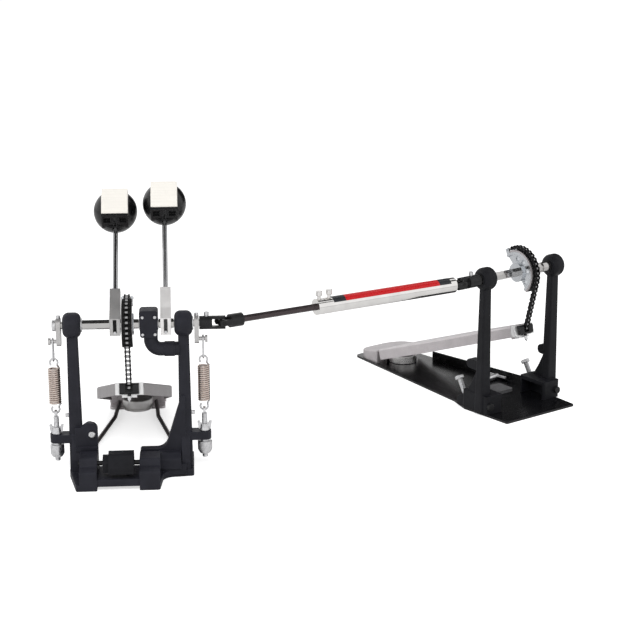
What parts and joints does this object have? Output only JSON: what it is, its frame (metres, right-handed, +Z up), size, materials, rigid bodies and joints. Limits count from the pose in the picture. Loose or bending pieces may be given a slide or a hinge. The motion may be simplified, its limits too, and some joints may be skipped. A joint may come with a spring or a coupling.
{
  "type": "double bass drum pedal",
  "caption": "Double bass drum pedal: main pedal with a pair of beaters, chain cams and return springs, driven also through a telescopic jointed shaft by a slave pedal.",
  "frame": {"origin": "middle of the whole footprint, on the floor", "axes": "+X along the main axle towards the slave pedal, +Y away from the drum, +Z up"},
  "size_m": [0.6978, 0.56, 0.3455],
  "materials": {
    "black_coat": "charcoal powder coat",
    "plate_coat": "satin dark grey coat",
    "steel": "bright zinc plate",
    "chrome": "polished chrome",
    "black_steel": "black oxide",
    "cast_aluminium": "satin cast",
    "pad": "matt black",
    "head": "semi gloss black",
    "felt": "ivory felt",
    "spring_wire": "nickel"
  },
  "bodies": {
    "main_frame": {"main_post_left": "black_coat", "main_post_right": "black_coat", "main_cross_bar": "black_coat", "main_bearings": "steel", "centre_block": "black_coat", "frame_fasteners": "steel", "main_pins": "steel", "radius_rod_left": "black_steel", "radius_rod_right": "black_steel", "main_heel_plate": "cast_aluminium", "tension_eye_rods": "steel", "tension_nuts": "steel"},
    "hoop_jaw": {"clamp_jaw": "black_coat"},
    "hoop_bolt": {"clamp_bolt": "steel"},
    "main_axle_set": {"main_axle": "chrome", "main_cam": "cast_aluminium", "main_cam_pad": "pad", "main_chain_wrap": "black_steel", "main_beater_holder": "chrome", "main_key_bolts": "steel", "main_spring_lever": "steel"},
    "main_beater": {"main_beater_rod": "chrome", "main_beater_head": "head", "main_beater_felt": "felt"},
    "main_chain": {"main_chain_run": "black_steel"},
    "main_board": {"main_footboard": "cast_aluminium", "main_toe_clamp": "black_steel"},
    "main_spring_tilt": {"main_spring": "spring_wire"},
    "main_spring_top": {"main_spring_link": "steel"},
    "aux_axle_set": {"aux_axle": "chrome", "aux_beater_holder": "chrome", "aux_key_bolts": "steel", "aux_spring_lever": "steel", "first_yoke": "black_steel"},
    "aux_beater": {"aux_beater_rod": "chrome", "aux_beater_head": "head", "aux_beater_felt": "felt"},
    "aux_spring_tilt": {"aux_spring": "spring_wire"},
    "aux_spring_top": {"aux_spring_link": "steel"},
    "first_cross_body": {"first_cross": "black_steel"},
    "shaft_rod": {"shaft_hex_rod": "black_steel"},
    "slave_frame": {"slave_base_plate": "plate_coat", "slave_post_near": "black_coat", "slave_post_far": "black_coat", "slave_bearings": "steel", "slave_fasteners": "steel", "slave_heel_block": "cast_aluminium", "drum_key": "steel"},
    "shaft_tube_body": {"shaft_tube": "chrome"},
    "slave_axle_set": {"slave_axle": "chrome", "slave_cam": "cast_aluminium", "slave_cam_pad": "pad", "slave_chain_wrap": "black_steel", "second_yoke": "black_steel"},
    "second_cross_body": {"second_cross": "black_steel"},
    "slave_chain": {"slave_chain_run": "black_steel"},
    "slave_board": {"slave_footboard": "cast_aluminium", "slave_toe_clamp": "black_steel"}
  },
  "joints": [
    {"name": "main_stroke", "type": "hinge", "parent": "main_frame", "child": "main_axle_set", "pos_m": [-0.2498, -0.21598, 0.19], "axis": [1, 0, 0], "range_deg": [0, 45], "stiffness_Nm_per_rad": 4, "springref_deg": 1.15},
    {"name": "main_spring_lean", "type": "hinge", "parent": "main_frame", "child": "main_spring_tilt", "pos_m": [-0.3403, -0.21598, 0.079], "axis": [1, 0, 0], "range_deg": [-8.36, 0.05]},
    {"name": "main_spring_stretch", "type": "slide", "parent": "main_spring_tilt", "child": "main_spring_top", "axis": [0, 0, 1], "range_m": [-0.0001, 0.00698], "deforming": ["main_spring"]},
    {"name": "main_beater_height", "type": "slide", "parent": "main_axle_set", "child": "main_beater", "axis": [0, 0.682, 0.7314], "range_m": [-0.006, 0.014]},
    {"name": "aux_stroke", "type": "hinge", "parent": "main_frame", "child": "aux_axle_set", "pos_m": [-0.2498, -0.21598, 0.19], "axis": [1, 0, 0], "range_deg": [0, 45], "stiffness_Nm_per_rad": 4, "springref_deg": 1.15},
    {"name": "aux_spring_lean", "type": "hinge", "parent": "main_frame", "child": "aux_spring_tilt", "pos_m": [-0.1593, -0.21598, 0.079], "axis": [1, 0, 0], "range_deg": [-8.36, 0.05]},
    {"name": "aux_spring_stretch", "type": "slide", "parent": "aux_spring_tilt", "child": "aux_spring_top", "axis": [0, 0, 1], "range_m": [-0.0001, 0.00698], "deforming": ["aux_spring"]},
    {"name": "aux_beater_height", "type": "slide", "parent": "aux_axle_set", "child": "aux_beater", "axis": [0, 0.6428, 0.766], "range_m": [-0.006, 0.014]},
    {"name": "main_chain_swing", "type": "hinge", "parent": "main_axle_set", "child": "main_chain", "pos_m": [-0.2498, -0.24858, 0.18187], "axis": [1, 0, 0], "range_deg": [-63.58, 0.05]},
    {"name": "main_board_hinge", "type": "hinge", "parent": "main_frame", "child": "main_board", "pos_m": [-0.2498, 0.04603, 0.014], "axis": [1, 0, 0], "range_deg": [-0.05, 4.96]},
    {"name": "first_cross_tilt", "type": "hinge", "parent": "aux_axle_set", "child": "first_cross_body", "pos_m": [-0.1368, -0.21598, 0.19], "axis": [0, 0, 1], "range_deg": [-7.15, 0.05]},
    {"name": "shaft_rod_spin", "type": "hinge", "parent": "main_frame", "child": "shaft_rod", "pos_m": [-0.1368, -0.21598, 0.19], "axis": [0.8942, 0.4476, 0], "range_deg": [-0.05, 41.85]},
    {"name": "shaft_length", "type": "slide", "parent": "main_frame", "child": "slave_frame", "axis": [0.8942, 0.4476, 0], "range_m": [-0.06, 0.05]},
    {"name": "shaft_tube_spin", "type": "hinge", "parent": "slave_frame", "child": "shaft_tube_body", "pos_m": [0.1811, -0.05686, 0.19], "axis": [0.8942, 0.4476, 0], "range_deg": [-0.05, 41.85]},
    {"name": "slave_stroke", "type": "hinge", "parent": "slave_frame", "child": "slave_axle_set", "pos_m": [0.27019, 0.00003, 0.19], "axis": [0.8428, 0.5382, 0], "range_deg": [-0.05, 42.01]},
    {"name": "second_cross_tilt", "type": "hinge", "parent": "slave_axle_set", "child": "second_cross_body", "pos_m": [0.1811, -0.05686, 0.19], "axis": [0, 0, 1], "range_deg": [-0.05, 1.57]},
    {"name": "slave_chain_swing", "type": "hinge", "parent": "slave_axle_set", "child": "slave_chain", "pos_m": [0.28773, -0.02745, 0.18187], "axis": [0.8428, 0.5382, 0], "range_deg": [-59.11, 0.05]},
    {"name": "slave_board_hinge", "type": "hinge", "parent": "slave_frame", "child": "slave_board", "pos_m": [0.12918, 0.22086, 0.014], "axis": [0.8428, 0.5382, 0], "range_deg": [-0.05, 4.78]},
    {"name": "hoop_jaw_swing", "type": "hinge", "parent": "main_frame", "child": "hoop_jaw", "pos_m": [-0.2498, -0.25798, 0.028], "axis": [1, 0, 0], "range_deg": [-20, 4]},
    {"name": "hoop_bolt_turn", "type": "hinge", "parent": "main_frame", "child": "hoop_bolt", "pos_m": [-0.2966, -0.21598, 0.0555], "axis": [0, 1, 0], "continuous": true}
  ],
  "couplings": [
    {"joint": "main_spring_lean", "follows": "main_stroke", "ratio": -0.1846},
    {"joint": "main_spring_stretch", "follows": "main_stroke", "m_per_rad": 0.008766},
    {"joint": "aux_spring_lean", "follows": "aux_stroke", "ratio": -0.1846},
    {"joint": "aux_spring_stretch", "follows": "aux_stroke", "m_per_rad": 0.008766},
    {"joint": "main_chain_swing", "follows": "main_stroke", "ratio": -1.4117},
    {"joint": "main_board_hinge", "follows": "main_stroke", "ratio": 0.10906},
    {"joint": "first_cross_tilt", "follows": "aux_stroke", "ratio": -0.15776},
    {"joint": "shaft_rod_spin", "follows": "aux_stroke", "ratio": 0.92898},
    {"joint": "shaft_tube_spin", "follows": "aux_stroke", "ratio": 0.92898},
    {"joint": "slave_stroke", "follows": "aux_stroke", "ratio": 0.93242},
    {"joint": "second_cross_tilt", "follows": "aux_stroke", "ratio": 0.033853},
    {"joint": "slave_chain_swing", "follows": "aux_stroke", "ratio": -1.3125},
    {"joint": "slave_board_hinge", "follows": "aux_stroke", "ratio": 0.10503}
  ]
}
